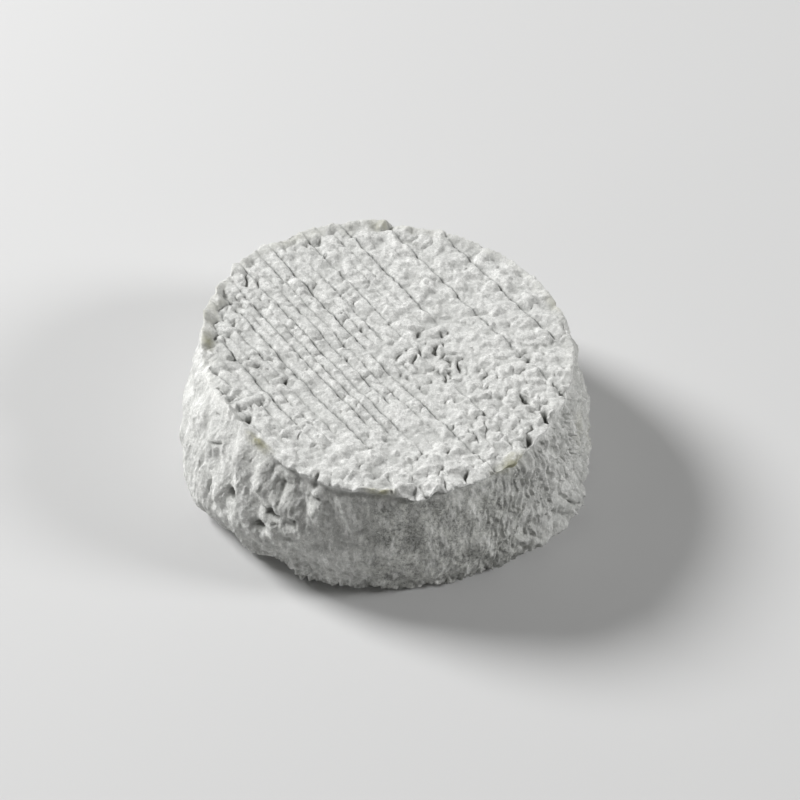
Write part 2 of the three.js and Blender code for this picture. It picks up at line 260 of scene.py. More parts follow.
# Straw-yellow stains, most of them by the rim: angle, half-width, distance below the rim,
# half-height, strength.
STAINS = (
    (308.0, 9.0, 0.4, 2.6, 1.0), (267.5, 6.5, 0.1, 2.6, 1.0), (224.0, 8.5, 0.0, 2.2, 1.0),
    (174.5, 5.0, -1.8, 2.6, 0.9), (93.0, 4.5, -1.5, 2.4, 0.6), (23.0, 7.0, -0.5, 3.0, 0.4),
    (345.0, 9.0, 15.0, 7.0, 0.25), (358.0, 8.0, 29.0, 6.0, 0.25), (120.0, 12.0, -2.0, 3.0, 0.2),
)

# Dents in the wall: angle, height, half-width, half-height, lean, depth. Each is darkened with painted
# shade as deep as it is.
DENTS = (
    (221.6, 21.8, 2.4, 1.5, -14, 2.4),
    (235.4, 24.4, 3.6, 1.1, 0, 2.0),
    (232.4, 18.8, 2.2, 1.2, 0, 1.7),
    (242.2, 19.0, 1.9, 0.9, 10, 0.7),
    (242.8, 24.4, 1.5, 1.3, -35, 1.4),
    (237.6, 21.1, 0.9, 0.7, 0, 1.1),
    (237.0, 31.8, 2.4, 2.2, 30, 1.1),
    (249.1, 33.2, 2.8, 1.0, 0, 1.1),
    (202.6, 34.8, 1.6, 0.6, 15, 0.9),
    (209.1, 29.8, 1.9, 0.6, 18, 1.0),
    (206.5, 21.0, 0.8, 4.4, 0, 0.9),
    (212.5, 18.5, 0.8, 2.8, 0, 0.8),
    (338.0, 34.0, 1.2, 1.0, 0, 0.9),
)

# Knobs on the wall: angle, height, half-width, rise. One whose rise is below 0 is a shallow hollow.
KNOBS = (
    (241.6, 21.4, 2.0, 0.9),
    (233.4, 21.6, 2.6, 0.8),
    (229.6, 29.0, 2.0, 0.7),
    (226.0, 21.0, 3.0, 0.7),
    (237.0, 27.4, 2.2, 0.6),
    (235.0, 4.0, 10.0, -1.8),
    (333.0, 5.0, 9.0, 2.5),
    (318.0, 3.5, 8.0, 1.3),
    (347.0, 13.0, 7.0, -1.3),
    (341.0, 6.5, 4.5, -1.7),
    (204.0, 7.0, 6.0, 1.5),
    (220.0, 4.0, 4.5, -1.8),
)

# Patches of the upper face: middle (x, y), length over width, and how far from the middle each is
# still whole and where it ends.
VELVET = (26, 30, 1.0, 16, 34)
WORMY = (12, -1, 1.1, 7, 17)
COBBLED = (34, -20, 1.0, 10, 24)
FOLDED = (-44, -8, 0.8, 7, 16)
COBBLED_FRONT = (26, 40)  # how far to the front the cobbles begin, and where they cover the face

# Stretches of the wall and the rim: the angle at the middle, and the reach to each side.
RIGHT_SIDE = (336, 62)
BACK_SIDE = (60, 100)
LEFT_SIDE = (200, 40)
CALM_FRONT = (272, 34)
CLUMPED = (238, 48)
DRAPED = (328, 34)
LEANING_RIGHT = (308, 24)
LEANING_LEFT = (198, 34)
EVEN_RIM = (52, 45)
ROUND_RIM = (190, 20)
WORN_RIM = (187, 20)

# Grey fuzz on the wall, laid thickest on the front and front-right as painted shade of the sides turned
# from the key light:
# the angles where the front's starts, is thick, gets thinner and ends, how thick it is elsewhere, and its
# patches (angle, reach, strength).
FRONT_FUZZ_AND_SHADE = (250, 271, 303, 325)
THIN_FUZZ = 0.25
FUZZ_PATCHES = ((198, 30, 0.12), (12, 34, 0.35), (240, 32, 0.35))

# Width and height of the cells that hold one pebble each: first the upper face's, then the wall's.
PEBBLE = (3.3, 3.3)
KNOB = (2.1, 2.1)
SPECK = (1.25, 1.25)
SCALE = (2.4, 9.0)
CLUMP = (3.0, 3.4)
FLAKE = (1.6, 4.4)
GRIT = (1.4, 1.7)

# Pads along the ribs of the upper face.
BAR_LENGTH = 4.2
BAR_END = 1.3  # how long each rounded end is
BAR_SHIFT = 0.37  # how far each rib's pads are ahead of the last rib's, as a share of their length

# The rim and the lip on it.
RIM_BEND = 0.25
ROUND_BEND = 1.3  # how much more the rim is rounded at the left
ROUNDED_DOWN_TO = (3, 8)  # distances below the rim where the rounding fades
LIP_HALF = 1.2  # half the lip's thickness
LIP_REACH = 3.2  # how far from its edge the lip's turns go up or down
UNDERCUT_DROP = 1.6  # how far the crease under the lip is below the rim
BAND_EDGE = (0.85, 1.15)  # in widths of the raised band, as are the gutter's place and half-width
GUTTER_PLACE = 1.05
GUTTER_WIDTH = 0.18
# The gutter's depth in mm, which is also how strong its painted shade is.
GUTTER_DEPTH = 0.7
WORN_DEPTH = 2.6  # where the rim is worn low
WORN_DOWN_TO = 12

# Distances from the rim where each relief begins and is whole: in over the face, or down the wall.
FACE_BEGINS = (-0.8, 0.5)
FACE_BEGINS_LATER = 2.5  # how much further in it is whole by the even stretch of the rim
GROOVES_BEGIN = (0.0, 0.8)
WALL_BEGINS = (0.3, 3.0)

# Levels on the wall: each kind of surface is whole below the first and gone above the second.
FOOT_LEVELS = (1.5, 7.0)
LOW_LEVELS = (6, 16)
DRAPED_LEVELS = (8, 18)
LEAN_LEVEL = 20.0  # folds that lean are in their own place at this level

DISH_DEPTH = 0.9  # how much lower the upper face is in the middle
DISH_SHARE = 0.95  # of the radius that is dished
WORM_BASE = 0.2  # level of the ground that the worms stand on
SOFT_EDGE = 1.4  # how far out a dent or a knob ends, in half-widths

# Mean heights, which are taken off each relief to keep it level with the plain form.
FACE_MEAN = 0.7
PEBBLE_MEAN = 0.46
KNOLL_MEAN = 0.5
DRAPE_MEAN = 0.55
CREASE_MEAN = 0.3

# The rind's colours.
WHITE_MOULD = (0.93, 0.93, 0.91)
GREY_MOULD = (0.8, 0.802, 0.782)
THIN_MOULD = (0.465, 0.468, 0.454)
# The fuzz's dark and pale grains. Where the fuzz is thick on the front, it is also painted shade.
DARK_FUZZ = (0.085, 0.087, 0.077)
PALE_FUZZ = (0.6, 0.604, 0.563)
# Beige bare rind, darkened partly as painted shade of the band's inner slope.
BARE_RIND_AND_SHADE = (0.56, 0.558, 0.512)
STRAW_YELLOW = (0.3, 0.292, 0.197)
# Grey where the mould is thin in the creases, with painted shade in it.
GREY_AND_SHADED_HOLLOW = (0.30, 0.305, 0.29)
# Grey mould and painted shade along the bottom of each groove.
GROOVE_GREY_AND_SHADE = (0.20, 0.205, 0.20)
# Painted shade at the bottom of deep pits and dents.
PAINTED_PIT_SHADE = (0.1, 0.1, 0.092)

# Fineness of the mesh, and of the rasters of waves that shape it.
FACE_CUTS = 349
WALL_CUTS = 117
MOST_TRIANGLES = 190_000
RASTER_STEP = 0.16  # mm between a raster's values
FACE_SPAN = 128.0  # a raster's sides, a little over the wheel's width
WALL_SPAN = 51.2  # a raster's height, more than the wall's
DRAWS = 64  # random draws each way, before pebbles repeat
PHASE_SPAN = 6.0  # mm from one whole phase to the next


# ---- Helpers -----------------------------------

def ease(value, low, high):
    """0 below low, 1 above high, and smooth between."""
    t = np.clip((value - low) / (high - low), 0, 1)
    return t * t * (3 - 2 * t)


def hump(distance, half_width):
    """1 at the middle, falling to 0 at its half-width."""
    return 1 - ease(np.abs(distance), 0, half_width)


def turn_from(angle, start):
    """The shorter way round from one angle to another, in degrees."""
    return (angle - start + 540) % 360 - 180


def stretch_of(angle, stretch):
    """1 in the middle of a stretch of the wall or the rim, falling to 0 at its ends."""
    middle, reach = stretch
    return hump(turn_from(angle, middle), reach)


def soft_max(one, other, bend=0.06):
    """The greater of the two, with a round bend where they meet."""
    return 0.5 * (one + other + np.sqrt((one - other) ** 2 + bend * bend))


def smooth_step_over(value, width):
    """value where it is well above 0, 0 well below, and a round bend between."""
    return 0.5 * (value + np.sqrt(value * value + width * width))


def banded_noise(width, depth, wavelength, spread, seed, stretch=1.0, heading=0.0):
    """A raster of waves that are all about one length, drawn out along a heading. Its mean square is 1."""
    shape = (round(depth / RASTER_STEP), round(width / RASTER_STEP))
    spectrum = np.fft.rfft2(np.random.default_rng(seed).standard_normal(shape))
    up = np.fft.fftfreq(shape[0], RASTER_STEP)[:, None]
    across = np.fft.rfftfreq(shape[1], RASTER_STEP)[None, :]
    turned = math.radians(heading)
    along = (across * math.cos(turned) + up * math.sin(turned)) * stretch
    sideways = up * math.cos(turned) - across * math.sin(turned)
    band = np.exp(-0.5 * ((np.hypot(along, sideways) * wavelength - 1) / spread) ** 2)
    waves = np.fft.irfft2(spectrum * band, shape)
    return waves / waves.std()


def face_noise(wavelength, spread, seed):
    return banded_noise(FACE_SPAN, FACE_SPAN, wavelength, spread, seed)


def wall_noise(wavelength, spread, seed, **shape):
    return banded_noise(BELLY_TURN, WALL_SPAN, wavelength, spread, seed, **shape)


def read(raster, across, up):
    """The raster's value at places in mm. It repeats past its edges."""
    rows, columns = raster.shape
    u = across / RASTER_STEP
    v = up / RASTER_STEP
    i = np.floor(u).astype(int)
    j = np.floor(v).astype(int)
    du = u - i
    dv = v - j
    left, right = i % columns, (i + 1) % columns
    low, high = j % rows, (j + 1) % rows
    lower = raster[low, left] * (1 - du) + raster[low, right] * du
    upper = raster[high, left] * (1 - du) + raster[high, right] * du
    return lower * (1 - dv) + upper * dv


def read_round(raster, along, row):
    """The raster's value all the way round the rim, from one of its rows."""
    return read(raster, along, np.full_like(along, row))


def puffed(waves, crease):
    """Turns waves into rounded pads with narrow creases between them, from 0 to about 1."""
    return 0.7 * (1 - np.exp(-(waves / crease) ** 2)) + 0.3 * np.tanh(np.abs(waves))


def creased(waves, crease=0.5):
    """1 in the creases between the pads, and 0 on them."""
    return np.exp(-(waves / crease) ** 2)


def pebbled(across, up, size, seed):
    """Pebbles, about one to each cell of this size: their height from 0 to 1, and 1 in the creases."""
    draws = np.random.default_rng(seed).random((DRAWS, DRAWS, 3))
    u = across / size[0]
    v = up / size[1]
    column = np.floor(u).astype(int)
    row = np.floor(v).astype(int)
    height = np.zeros_like(u)
    for i in (-1, 0, 1):
        for j in (-1, 0, 1):
            draw = draws[(row + j) % DRAWS, (column + i) % DRAWS]
            away = np.hypot(column + i + draw[:, 0] - u, row + j + draw[:, 1] - v)
            reach = 0.5 + 0.4 * draw[:, 2]
            dome = (0.4 + 0.6 * draw[:, 2]) * np.clip(1 - (away / reach) ** 2, 0, 1)
            height = soft_max(height, dome)
    return height, 1 - ease(height, 0.0, 0.3)


def barred(ribs, along, seed):
    """Long pads that lie end to end along each rib: their height from 0 to 1."""
    draws = np.random.default_rng(seed).random((DRAWS, DRAWS, 3))
    rib = np.floor(ribs).astype(int)
    side = 2 * np.abs(ribs - rib - 0.5)
    place = along / BAR_LENGTH + BAR_SHIFT * rib
    cell = np.floor(place).astype(int)
    nearest = np.full_like(ribs, 9)
    second = np.full_like(ribs, 9)
    size = np.zeros_like(ribs)
    for i in (-1, 0, 1):
        draw = draws[rib % DRAWS, (cell + i) % DRAWS]
        away = np.abs(cell + i + 0.1 + 0.8 * draw[:, 0] - place)
        second = np.minimum(second, np.maximum(nearest, away))
        size = np.where(away < nearest, draw[:, 2], size)
        nearest = np.minimum(nearest, away)
    end = np.clip(1 - (second - nearest) / 2 * BAR_LENGTH / BAR_END, 0, 1)
    body = np.clip(1 - end ** 2.2, 0, 1) * np.clip(1 - side ** 3, 0, 1)
    return (0.35 + 0.65 * size) * body


# ---- The plain form ----------------------------

def section_radius(section, angle):
    """The plain wall's radius at one of the sections."""
    _, radius, swells, bulges = section
    out = np.full_like(angle, radius)
    for count, size, crest in swells:
        out += size * np.cos(np.radians(count * (angle - crest)))
    for at, size, spread in bulges:
        out += size * hump(turn_from(angle, at), spread)
    return out


def plain_radius(angle, level):
    """The plain wall: a smooth curve through the sections."""
    heights = [section[0] for section in SECTIONS]
    radii = [section_radius(section, angle) for section in SECTIONS]
    last = len(SECTIONS) - 1
    slopes = []
    for i in range(last + 1):
        below, above = max(i - 1, 0), min(i + 1, last)
        slopes.append((radii[above] - radii[below]) / (heights[above] - heights[below]))
    level = np.clip(level, 0, HEIGHT)
    out = np.zeros_like(angle)
    for i in range(last):
        span = heights[i + 1] - heights[i]
        t = (level - heights[i]) / span
        here = (t >= 0) & (t <= 1)
        curve = radii[i] + (radii[i + 1] - radii[i]) * t * t * (3 - 2 * t)
        curve += span * slopes[i] * t * (1 - t) ** 2 - span * slopes[i + 1] * t * t * (1 - t)
        out = np.where(here, curve, out)
    turned_under = FOOT_INSET * (1 - np.minimum(level / TURN_UNDER, 1)) ** 3
    return out - turned_under


# ---- Relief of the upper face ------------------

def in_patch(x, y, edge, patch):
    """1 inside a patch of the upper face, and 0 outside it."""
    middle_x, middle_y, length, whole, end = patch
    return 1 - ease(np.hypot((x - middle_x) / length, y - middle_y) + edge, whole, end)


def to_stroke(x, y, stroke):
    """Distance to the line between a stroke's ends."""
    x0, y0, x1, y1 = stroke
    dx, dy = x1 - x0, y1 - y0
    t = np.clip(((x - x0) * dx + (y - y0) * dy) / (dx * dx + dy * dy), 0, 1)
    return np.hypot(x - x0 - t * dx, y - y0 - t * dy)


def add_worms(x, y, relief, hollow_grey_and_shade):
    """Lays the worms and folds on the relief, each with a moat round it that is darkened with painted
    shade.
    """
    for *ends, half_width, rise in WORMS:
        away = to_stroke(x, y, ends) / (1.1 * half_width)
        body = WORM_BASE + rise * np.maximum(1 - away ** 3.2, -2)
        moat = np.exp(-((away - 1.2) / 0.3) ** 2)
        relief = soft_max(relief - 0.25 * rise * moat, body, 0.1)
        # Painted shade in the moat.
        hollow_grey_and_shade += 0.2 * moat
    return relief, hollow_grey_and_shade


def add_pits(x, y, relief, hollow_grey_and_shade):
    for *ends, half_width, depth in PITS:
        pit = hump(to_stroke(x, y, ends), 1.5 * half_width)
        relief -= depth * pit
        # Painted shade in the pit, as strong as the pit is deep.
        hollow_grey_and_shade += 0.45 * depth * pit
    return relief, hollow_grey_and_shade


class Face:
    """Everything that shapes the upper face, read at places in mm."""

    def __init__(self):
        # Each has its wavelength in mm, the spread of it, and a seed.
        self.wander = face_noise(14, 0.5, 11)
        self.tremble = face_noise(3.2, 0.4, 12)
        self.swell = face_noise(9, 0.4, 13)
        self.broad = face_noise(20, 0.4, 19)
        self.warp = face_noise(4.5, 0.4, 15)
        self.crumbs = face_noise(1.0, 0.3, 18)
        self.uneven = face_noise(11, 0.5, 20)

    def regions(self, x, y):
        """How far each kind of surface reaches: velvety, wormy, cobbled and folded."""
        edge = 2.5 * read(self.wander, x, y)
        velvet = in_patch(x, y, edge, VELVET)
        wormy = in_patch(x, y, edge, WORMY)
        cobbled = in_patch(x, y, edge, COBBLED)
        cobbled = np.maximum(cobbled, ease(-y + 0.3 * x + edge, *COBBLED_FRONT))
        folded = in_patch(x, y, edge, FOLDED)
        return velvet, wormy, cobbled, folded

    def grooves(self, x, y):
        """The rack's marks.

        Place along them, place across a rib, its width, distance to the nearest groove, that groove's
        number plus the distance, and its depth.
        """
        heading = math.radians(GROOVE_HEADING)
        along = x * math.cos(heading) + y * math.sin(heading)
        across = -x * math.sin(heading) + y * math.cos(heading) - GROOVE_DRIFT * np.maximum(along, 0)
        wander = GROOVE_WANDER * read(self.wander, x + 40, y)
        across += wander + GROOVE_TREMBLE * read(self.tremble, x, y)
        offsets, depths, starts, ends = np.array(GROOVES).T
        rib = np.clip(np.searchsorted(offsets, across) - 1, 0, offsets.size - 2)
        before, after = across - offsets[rib], offsets[rib + 1] - across
        nearest = np.where(before < after, rib, rib + 1)
        signed = np.where(before < after, before, -after)
        phase = nearest + np.clip(signed / PHASE_SPAN, -0.49, 0.49)
        start, end = starts[nearest], ends[nearest]
        inside = ease(along, start - GROOVE_FADE, start + GROOVE_FADE)
        inside = inside * (1 - ease(along, end - GROOVE_FADE, end + GROOVE_FADE))
        depth = depths[nearest] * (GROOVE_TRACE + (1 - GROOVE_TRACE) * inside)
        worn = ease(read(self.warp, 0.6 * x + 20, 0.6 * y), -1.5, 0.4)
        depth = depth * (depth + (1 - depth) * worn)
        width = before + after
        part = np.clip(before / width, 0, 1)
        return along, rib + part, width, np.abs(signed), phase, depth

    def relief(self, x, y):
        """Height over the plain face, how much grey and painted shade lies in its low places and creases,
        the groove's phase and its depth.

        What stands before each pattern is its height in mm: everywhere, and what each region adds.
        """
        velvet, wormy, cobbled, folded = self.regions(x, y)
        along, ribs, width, to_groove, phase, depth = self.grooves(x, y)
        depth = depth * (1 - 0.7 * wormy) * (1 - 0.25 * cobbled)
        slit, slit_reach = GROOVE_SLIT
        valley, valley_reach = GROOVE_VALLEY
        profile = slit * np.exp(-(to_groove / slit_reach) ** 2)
        profile = profile + valley * np.exp(-(to_groove / valley_reach) ** 2)

        narrow = 1 - ease(width, *RIB_WIDTHS)
        ribbed = narrow * (1 - 0.9 * wormy) * (1 - 0.7 * cobbled) * (1 - velvet)
        loose = (1 - ribbed) * (1 - 0.4 * velvet) * (1 - 0.8 * wormy)
        uneven = ease(read(self.uneven, x, y), -1.2, 1.0)
        part = ribs - np.floor(ribs)
        crown = 1 - (2 * part - 1) ** 2
        sway = 0.35 * read(self.warp, x, y)
        lean = 0.35 * read(self.warp, x + 50, y + 50)
        bar = barred(ribs, along + 2 * lean, seed=41)
        pebble, crease = pebbled(x + 1.6 * sway, y + 1.6 * lean, PEBBLE, seed=42)
        knob, knob_gap = pebbled(x + sway, y + lean, KNOB, seed=47)
        speck, _ = pebbled(x + lean, y + sway, SPECK, seed=43)

        rows = ribbed * (0.3 * crown + (0.5 + 0.6 * uneven) * bar)
        domes = (0.9 + 0.4 * loose + 0.6 * cobbled) * (1 - 0.5 * uneven * ribbed) * pebble
        pads = soft_max(rows, domes, 0.15) + (0.45 + 0.3 * cobbled) * knob
        relief = (1 - 0.5 * folded) * pads
        relief += 0.2 * speck + 0.02 * read(self.crumbs, x, y)
        relief += 0.22 * read(self.swell, x, y) + 0.15 * read(self.broad, x, y) - depth * profile
        # The hollow mask: grey where the mould is thin in low places and creases, and painted shade there
        # too.
        hollow_grey_and_shade = 0.4 * (1 - ease(relief, 0.1, 0.9)) + 0.2 * knob_gap
        hollow_grey_and_shade += (0.25 + 0.25 * cobbled - 0.15 * velvet) * crease

        warped_x, warped_y = x + 0.9 * sway, y + 0.9 * lean
        relief, hollow_grey_and_shade = add_worms(warped_x, warped_y, relief, hollow_grey_and_shade)
        relief, hollow_grey_and_shade = add_pits(warped_x, warped_y, relief, hollow_grey_and_shade)
        return relief, np.clip(hollow_grey_and_shade, 0, 1), phase, depth


# ---- Relief of the wall ------------------------

def add_dents(angle, level, sway, lift, relief, hollow_grey_and_shade):
    for at, height, half_width, half_height, lean, depth in DENTS:
        sideways = np.radians(turn_from(angle, at)) * BELLY_RADIUS + 0.6 * sway
        upward = level - height + 0.4 * lift
        turned = math.radians(lean)
        u = (sideways * math.cos(turned) + upward * math.sin(turned)) / half_width
        v = (upward * math.cos(turned) - sideways * math.sin(turned)) / half_height
        dent = depth * hump(np.hypot(u, v), SOFT_EDGE)
        relief -= dent
        # Painted shade in the dent, as deep as the dent.
        hollow_grey_and_shade += 0.9 * dent
    return relief, hollow_grey_and_shade


def add_knobs(angle, level, relief):
    for at, height, half_width, rise in KNOBS:
        sideways = np.radians(turn_from(angle, at)) * BELLY_RADIUS
        relief += rise * hump(np.hypot(sideways, level - height), SOFT_EDGE * half_width)
    return relief


def rim_table(table, angle):
    """The columns of one of the rim's tables, read at these angles."""
    at, *columns = np.array(table).T
    return [np.interp(angle, at, column) for column in columns]


class Wall:
    """Everything that shapes the wall, read at angles in degrees and levels in mm."""

    def __init__(self):
        # Each has its wavelength in mm, the spread of it, and a seed.
        self.lumps = wall_noise(12, 0.4, 21)
        self.pillars = wall_noise(8.0, 0.3, 22, stretch=2.4, heading=108)
        self.strands = wall_noise(3.8, 0.45, 31, stretch=4.0, heading=94)
        self.knolls = wall_noise(5.0, 0.3, 23, stretch=1.3, heading=100)
        self.drapes = wall_noise(5.5, 0.3, 30, stretch=3.0, heading=118)
        self.fibres = wall_noise(1.5, 0.4, 25, stretch=3.5, heading=88)
        self.warp = wall_noise(5.0, 0.4, 26)
        self.crumbs = wall_noise(1.0, 0.3, 27)
        self.scallops = wall_noise(6.0, 0.35, 28)
        self.frills = wall_noise(2.6, 0.35, 29)

    def relief(self, angle, level):
        """Height over the plain wall, and how much grey and painted shade lies in its creases.

        What stands before each pattern is its height in mm: everywhere, and what each stretch adds.
        """
        along = np.radians(angle) * BELLY_RADIUS
        right = np.maximum(stretch_of(angle, RIGHT_SIDE), 0.75 * stretch_of(angle, BACK_SIDE))
        draped = stretch_of(angle, DRAPED) * (1 - ease(level, *DRAPED_LEVELS))
        clumped = stretch_of(angle, CLUMPED)
        low = clumped * (1 - ease(level, *LOW_LEVELS))
        left = stretch_of(angle, LEFT_SIDE)
        calm = stretch_of(angle, CALM_FRONT)
        foot = 1 - ease(level, *FOOT_LEVELS)

        sway = 0.5 * read(self.warp, along, level)
        lift = 0.6 * read(self.warp, along + 90, level + 20)
        tilt = -0.45 * stretch_of(angle, LEANING_RIGHT) * (level - LEAN_LEVEL)
        upstanding = along + 0.5 * stretch_of(angle, LEANING_LEFT) * (level - LEAN_LEVEL)
        scale, scale_gap = pebbled(along + 1.2 * sway + tilt, level + lift, SCALE, seed=44)
        clump, clump_gap = pebbled(upstanding + 1.5 * sway, level + lift, CLUMP, seed=48)
        flake, flake_gap = pebbled(along - sway + tilt, level - lift, FLAKE, seed=46)
        grit, grit_gap = pebbled(along + lift, level + sway, GRIT, seed=45)
        drapes = read(self.drapes, along, level)
        knolls = read(self.knolls, upstanding, level)
        pillars = read(self.pillars, upstanding, level)
        strands = read(self.strands, along + sway + tilt, level)
        left_strands = read(self.strands, upstanding + sway, level)

        relief = 0.3 * read(self.lumps, along, level)
        relief += (0.2 + 0.35 * clumped - 0.05 * calm) * pillars
        relief += (0.1 + 0.2 * clumped) * (puffed(knolls, 0.9) - KNOLL_MEAN)
        relief += (0.15 + 0.6 * clumped + 0.4 * low + 0.5 * foot) * (clump - PEBBLE_MEAN)
        relief += 0.3 * left * (creased(left_strands) - CREASE_MEAN)
        relief += (0.15 + 0.4 * right * (1 - 0.6 * draped)) * (scale - PEBBLE_MEAN)
        relief += 0.35 * right * (flake - PEBBLE_MEAN)
        relief += 1.5 * right * (1 - 0.4 * draped) * (creased(strands) - CREASE_MEAN)
        relief += 1.4 * draped * (puffed(drapes, 0.7) - DRAPE_MEAN)
        coarse = 0.15 + 0.13 * calm + 0.08 * right + 0.1 * clumped + 0.95 * low + 1.1 * foot
        relief += coarse * (grit - PEBBLE_MEAN)
        relief += (0.02 + 0.06 * calm) * read(self.fibres, along, level)
        relief += 0.04 * read(self.crumbs, along, level)

        # The hollow mask on the wall: grey and painted shade in the gaps between scales, flakes, strands,
        # drapes, clumps and grit.
        hollow_grey_and_shade = (0.1 + 0.2 * right) * scale_gap + 0.2 * right * flake_gap
        hollow_grey_and_shade += 0.5 * right * ease(np.abs(strands), 0.7, 1.7) + 0.6 * foot * grit_gap
        hollow_grey_and_shade += 0.4 * draped * creased(drapes)
        hollow_grey_and_shade += 0.2 * clumped * clump_gap + 0.3 * low * grit_gap
        relief, hollow_grey_and_shade = add_dents(angle, level, sway, lift, relief, hollow_grey_and_shade)
        relief = add_knobs(angle, level, relief)
        return relief * ease(level, -1.5, 1.0), np.clip(hollow_grey_and_shade, 0, 1)

    def lip_edge(self, angle, overhang, bare, ruffle):
        """How far out and how far up the very edge of the lip is."""
        along = np.radians(angle) * BELLY_RADIUS
        scallop = read_round(self.scallops, along, 5)
        frill = read_round(self.frills, along, 9)
        billow = read_round(self.lumps, along, 14)
        ragged = 0.25 + 0.75 * np.minimum(overhang + 0.3 * bare, 1)
        frilly = ragged * (1 - 0.7 * bare)
        out = overhang + 0.3 * ragged * scallop + 0.35 * frilly * frill + 0.3 * bare * billow
        up = 0.25 * ragged * ruffle + 0.16 * frilly * frill + 0.3 * bare * billow
        for turn, half_width, turn_out, turn_up in LIP_TURNS:
            share = hump(turn_from(angle, turn), half_width)
            out += turn_out * share
            up += turn_up * share
        return out, up

    def rim(self, angle, from_rim):
        """The lip over its crease: how far out and up, how much painted shade lies under it and in the
        band's gutter, and the raised band.
        """
        along = np.radians(angle) * BELLY_RADIUS
        width, rise, bare = rim_table(RIM_BAND, angle)
        overhang, undercut = rim_table(RIM_LIP, angle)
        ruffle = read_round(self.scallops, along, 20)
        crimp = read(self.knolls, along + 0.4 * from_rim, from_rim + 30)
        inward = np.maximum(-from_rim, 0) / (width * (1 + 0.25 * ruffle))
        slope = smooth_step_over(1 - inward, 0.15)
        band = (1 - ease(inward, *BAND_EDGE)) * bare
        gutter = np.exp(-((inward - GUTTER_PLACE) / GUTTER_WIDTH) ** 2)
        gutter = GUTTER_DEPTH * (gutter * bare ** 2)

        out, up = self.lip_edge(angle, overhang, bare, ruffle)
        out = out * hump(from_rim, LIP_HALF)
        out = out - undercut * hump(from_rim - UNDERCUT_DROP, LIP_HALF)
        up = up * hump(from_rim, LIP_REACH) + rise * slope * (1 - ease(from_rim, 0, 1.5)) - gutter
        up += 0.4 * band * crimp * (from_rim < 0.5)
        # Painted shadow under the lip, and painted shade in the band's gutter and between its nodules.
        hollow_grey_and_shade = 0.9 * np.minimum(undercut, 1) * hump(from_rim - 1.2, 0.9) + gutter
        hollow_grey_and_shade += 0.5 * band * ease(-crimp, 0.2, 1.4)
        return out, up, hollow_grey_and_shade, band * (from_rim < 1.5)


# ---- The whole wheel ---------------------------

def is_upright(edge):
    return abs(edge.verts[0].co.z - edge.verts[1].co.z) > 1e-6


def plain_drum():
    """A cube without its lower face, divided into even squares. Its base is closed with a fan."""
    form = bmesh.new()
    bmesh.ops.create_cube(form, size=2)
    below = [face for face in form.faces if face.calc_center_median().z < -0.5]
    bmesh.ops.delete(form, geom=below, context="FACES_ONLY")
    level_edges = [edge for edge in form.edges if not is_upright(edge)]
    bmesh.ops.subdivide_edges(form, edges=level_edges, cuts=FACE_CUTS, use_grid_fill=True)
    upright_edges = [edge for edge in form.edges if is_upright(edge)]
    bmesh.ops.subdivide_edges(form, edges=upright_edges, cuts=WALL_CUTS, use_grid_fill=True)
    foot = [edge for edge in form.edges if edge.is_boundary]
    base = bmesh.ops.contextual_create(form, geom=foot)["faces"]
    bmesh.ops.poke(form, faces=base)
    bmesh.ops.recalc_face_normals(form, faces=form.faces)
    return form


def rounded(a, b):
    """Turns a square's places into a disc's: the share of the radius, and the angle in degrees."""
    radius = np.maximum(np.abs(a), np.abs(b))
    sideways = np.abs(a) >= np.abs(b)
    longer = np.where(sideways, a, b)
    longer = np.where(longer == 0, 1, longer)
    slant = 45 * np.where(sideways, b, a) / longer
    angle = np.where(sideways, slant, 90 - slant) + 180 * (longer < 0)
    return radius, angle % 360


def fuzz_and_front_shade_mask(angle):
    """How thick the grey fuzz on the wall is. On the front it is thick as painted shade."""
    start, thick, thinner, end = FRONT_FUZZ_AND_SHADE
    mask = THIN_FUZZ + (1 - THIN_FUZZ) * ease(angle, start, thick) * (1 - ease(angle, thinner, end))
    for at, reach, strength in FUZZ_PATCHES:
        mask += strength * hump(turn_from(angle, at), reach)
    return np.clip(mask, 0, 1)


def stain_mask(angle, from_rim):
    """How strong the straw-yellow stains are."""
    mask = np.zeros_like(angle)
    for at, half_width, below, half_height, strength in STAINS:
        spread = np.hypot(turn_from(angle, at) / half_width, (from_rim - below) / half_height)
        mask = np.maximum(mask, strength * hump(spread, 1))
    return mask


